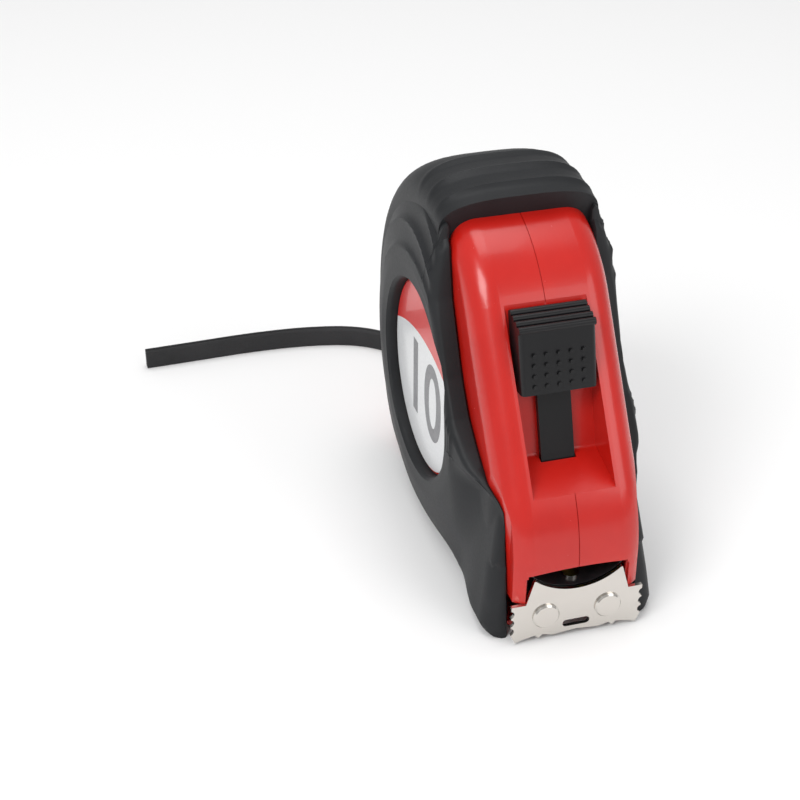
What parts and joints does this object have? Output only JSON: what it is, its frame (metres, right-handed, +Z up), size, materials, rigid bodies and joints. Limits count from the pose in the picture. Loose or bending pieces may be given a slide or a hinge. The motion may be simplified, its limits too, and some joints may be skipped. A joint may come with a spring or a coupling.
{
  "type": "tape measure",
  "caption": "Pocket tape measure with a spring-return steel blade, magnetic end hook, thumb lock, rubber grips and a wrist strap.",
  "frame": {"origin": "on the flat base, straight below the spool axis, midway between the two sides", "axes": "+X forward along the blade towards the hook, +Y to the left side, +Z up"},
  "size_m": [0.1599, 0.105, 0.0985],
  "materials": {
    "red_case": "gloss",
    "grip_rubber": "matte",
    "button_plastic": "satin",
    "inner_plastic": "satin",
    "label_print": "satin",
    "blade_enamel": "satin",
    "nickel_steel": "satin",
    "spring_steel": "satin",
    "strap_webbing": "matte"
  },
  "bodies": {
    "case": {"case_left": "red_case", "case_right": "red_case", "case_screws": "spring_steel", "top_bumper": "grip_rubber", "grip_left": "grip_rubber", "grip_right": "grip_rubber", "label_left": "label_print", "label_right": "label_print", "spindle": "spring_steel", "reel_liner_left": "inner_plastic", "reel_liner_right": "inner_plastic", "blade_guide": "inner_plastic", "lock_spring": "spring_steel", "strap_lug": "button_plastic", "strap_pin": "nickel_steel", "wrist_strap": "strap_webbing"},
    "spool": {"reel_drum": "inner_plastic", "drum_cover": "inner_plastic", "mainspring": "spring_steel", "blade_coil": "blade_enamel"},
    "blade": {"blade": "blade_enamel", "hook_rivets": "nickel_steel"},
    "hook": {"end_hook": "nickel_steel", "hook_magnets": "nickel_steel"},
    "lock": {"lock_slider": "button_plastic", "brake_pad": "grip_rubber"}
  },
  "joints": [
    {"name": "spool_spin", "type": "hinge", "parent": "case", "child": "spool", "pos_m": [0, 0, 0.0431], "axis": [0, -1, 0], "range_deg": [0, 90]},
    {"name": "blade_slide", "type": "slide", "parent": "case", "child": "blade", "axis": [1, 0, 0], "range_m": [0, 0.0448]},
    {"name": "hook_float", "type": "slide", "parent": "blade", "child": "hook", "axis": [1, 0, 0], "range_m": [0, 0.001]},
    {"name": "lock_slide", "type": "slide", "parent": "case", "child": "lock", "axis": [0.3066, 0, -0.9518], "range_m": [0, 0.012]}
  ],
  "couplings": [
    {"joint": "blade_slide", "follows": "spool_spin", "m_per_rad": 0.0285}
  ]
}
